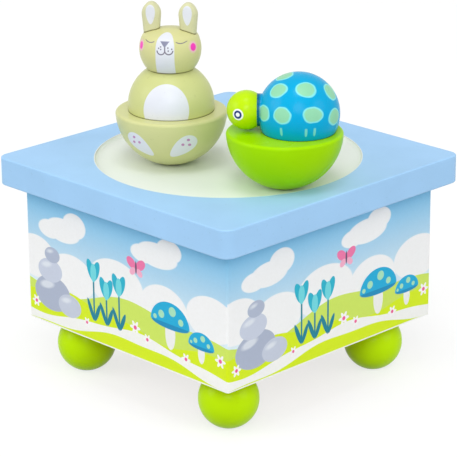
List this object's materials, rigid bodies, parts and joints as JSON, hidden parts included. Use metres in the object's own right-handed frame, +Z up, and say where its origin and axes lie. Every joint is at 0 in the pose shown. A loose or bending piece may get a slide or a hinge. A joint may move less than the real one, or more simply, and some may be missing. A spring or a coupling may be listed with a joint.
{
  "type": "wind-up music box",
  "caption": "Square wooden wind-up music box on ball feet with a round sunk floor on which magnetic animal figures on half-ball bases turn and dance.",
  "frame": {"origin": "on the drive axis at the level the feet stand on", "axes": "+Z up along the drive axis, +X and +Y square to the case walls, -Y is the wall called front"},
  "size_m": [0.115, 0.115, 0.1358],
  "materials": {
    "plate_blue": "pale blue paint, satin",
    "floor_cream": "off-white paint, satin",
    "print_paper": "printed landscape, satin varnish",
    "bare_wood": "bare wood, matt",
    "foot_lime": "lime paint, gloss",
    "rabbit_sage": "sage paint with painted face and paws, gloss",
    "turtle_lime": "lime paint, gloss",
    "shell_blue": "blue paint with pale green spots, gloss",
    "zinc_steel": "zinc plated",
    "grey_casting": "die casting, matt grey",
    "brass": "plain brass",
    "spring_steel": "blued spring steel",
    "key_plate": "brass plated steel",
    "white_nylon": "moulded, matt",
    "magnet": "nickel plated magnet"
  },
  "bodies": {
    "case": {"top_plate": "plate_blue", "dance_floor": "floor_cream", "printed_wrap": "print_paper", "front_wall": "bare_wood", "back_wall": "bare_wood", "left_wall": "bare_wood", "right_wall": "bare_wood", "base_board": "bare_wood", "corner_blocks": "bare_wood", "plate_dowels": "bare_wood", "base_screws": "zinc_steel", "foot_front_left": "foot_lime", "foot_front_right": "foot_lime", "foot_back_left": "foot_lime", "foot_back_right": "foot_lime", "foot_dowels": "bare_wood", "movement_bedplate": "grey_casting", "movement_screws": "zinc_steel", "bracket_screws": "zinc_steel", "arbor_bush": "brass", "left_bracket": "zinc_steel", "right_bracket": "zinc_steel", "governor_bracket": "zinc_steel", "comb": "spring_steel", "comb_rail": "grey_casting", "comb_screws": "zinc_steel"},
    "winder": {"winding_arbor": "zinc_steel", "winding_key": "key_plate"},
    "drive": {"spring_barrel": "brass", "mainspring": "spring_steel", "barrel_cover": "brass", "magnet_disc": "white_nylon", "output_shaft": "zinc_steel", "rotor_hub": "white_nylon", "hub_screws": "zinc_steel"},
    "cylinder": {"crown_pinion": "brass", "cylinder_shaft": "zinc_steel", "music_cylinder": "brass", "cylinder_gear": "brass"},
    "governor": {"governor_wheel": "brass"},
    "fan": {"governor_worm": "white_nylon"},
    "rabbit_spinner": {"rabbit_carrier_magnet": "magnet"},
    "turtle_spinner": {"turtle_carrier_magnet": "magnet"},
    "rabbit": {"rabbit_base": "rabbit_sage", "rabbit_magnet": "magnet", "rabbit_body_dowel": "bare_wood", "rabbit_body": "rabbit_sage", "rabbit_neck_dowel": "bare_wood", "rabbit_head": "rabbit_sage", "rabbit_ear_left": "rabbit_sage", "rabbit_ear_right": "rabbit_sage"},
    "turtle": {"turtle_base": "turtle_lime", "turtle_magnet": "magnet", "turtle_body_dowel": "bare_wood", "turtle_shell": "shell_blue", "turtle_head_dowel": "bare_wood", "turtle_head": "turtle_lime"}
  },
  "joints": [
    {"name": "key_wind", "type": "hinge", "parent": "case", "child": "winder", "pos_m": [0, 0, 0.02], "axis": [0, 0, 1], "range_deg": [0, 1530]},
    {"name": "rotor_turn", "type": "hinge", "parent": "case", "child": "drive", "pos_m": [0, 0, 0.05], "axis": [0, 0, 1], "continuous": true},
    {"name": "cylinder_turn", "type": "hinge", "parent": "case", "child": "cylinder", "pos_m": [0.02, 0, 0.0485], "axis": [1, 0, 0], "continuous": true},
    {"name": "governor_turn", "type": "hinge", "parent": "case", "child": "governor", "pos_m": [0.0259, -0.01061, 0.03789], "axis": [1, 0, 0], "continuous": true},
    {"name": "fan_turn", "type": "hinge", "parent": "case", "child": "fan", "pos_m": [0.0259, -0.01881, 0.03789], "axis": [0, 0, 1], "continuous": true},
    {"name": "rabbit_spin", "type": "hinge", "parent": "drive", "child": "rabbit_spinner", "pos_m": [-0.01158, -0.01606, 0.075], "axis": [0, 0, 1], "continuous": true},
    {"name": "turtle_spin", "type": "hinge", "parent": "drive", "child": "turtle_spinner", "pos_m": [0.0353, -0.00802, 0.075], "axis": [0, 0, 1], "continuous": true},
    {"name": "rabbit_lift", "type": "slide", "parent": "rabbit_spinner", "child": "rabbit", "axis": [0, 0, 1], "range_m": [0, 0.06]},
    {"name": "turtle_lift", "type": "slide", "parent": "turtle_spinner", "child": "turtle", "axis": [0, 0, 1], "range_m": [0, 0.06]}
  ],
  "couplings": [
    {"joint": "cylinder_turn", "follows": "rotor_turn", "ratio": 2.6667},
    {"joint": "governor_turn", "follows": "rotor_turn", "ratio": -10.667},
    {"joint": "fan_turn", "follows": "rotor_turn", "ratio": -64}
  ]
}
